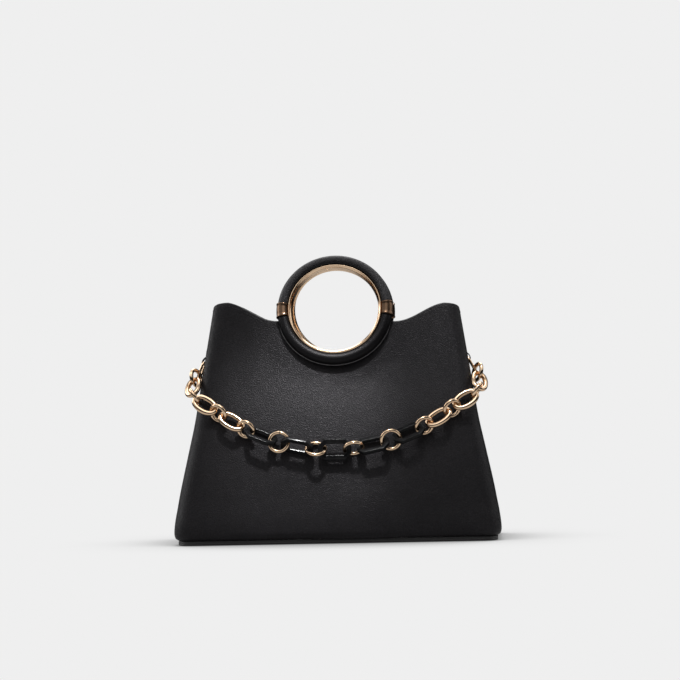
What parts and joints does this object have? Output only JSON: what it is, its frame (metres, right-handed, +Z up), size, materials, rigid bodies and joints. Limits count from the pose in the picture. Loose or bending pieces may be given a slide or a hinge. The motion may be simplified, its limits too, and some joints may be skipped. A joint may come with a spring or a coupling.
{
  "type": "ring-handle handbag",
  "caption": "Flared open-top leather handbag with a round ring handle on each face and a decorative chain draped across the front between side rings.",
  "frame": {"origin": "centre of the sole's underside, where the bag stands", "axes": "+Z up, -Y out of the front face with the chain, +X to the right seen from the front"},
  "size_m": [0.2994, 0.1448, 0.2654],
  "materials": {
    "leather": "fine-grained, semi-matte black",
    "handle_leather": "smooth wrapped black leather",
    "sole_leather": "black base leather with painted edges",
    "gold": "polished pale rose-gold plate",
    "bronze": "dark polished bronze-gold plate",
    "enamel": "glossy black enamel"
  },
  "bodies": {
    "root": {"front_panel": "leather", "back_panel": "leather", "ring_tab_left": "leather", "ring_tab_right": "leather", "front_ring_upper_wrap": "handle_leather", "front_ring_lower_wrap": "handle_leather", "back_ring_upper_wrap": "handle_leather", "back_ring_lower_wrap": "handle_leather", "sole": "sole_leather", "front_ring_liner": "gold", "back_ring_liner": "gold", "side_ring_left": "gold", "side_ring_right": "gold", "round_link_1": "gold", "round_link_2": "gold", "round_link_3": "gold", "round_link_4": "gold", "round_link_5": "gold", "round_link_6": "gold", "round_link_7": "gold", "round_link_8": "gold", "oval_link_1": "gold", "oval_link_2": "gold", "oval_link_3": "gold", "oval_link_4": "gold", "oval_link_5": "gold", "oval_link_6": "gold", "spacer_ring_1": "gold", "spacer_ring_2": "gold", "spacer_ring_3": "gold", "spacer_ring_4": "gold", "front_ring_ferrule_left": "bronze", "front_ring_ferrule_right": "bronze", "back_ring_ferrule_left": "bronze", "back_ring_ferrule_right": "bronze", "black_link_1": "enamel", "black_link_2": "enamel", "black_link_3": "enamel", "black_link_4": "enamel", "black_link_5": "enamel"}
  },
  "joints": []
}
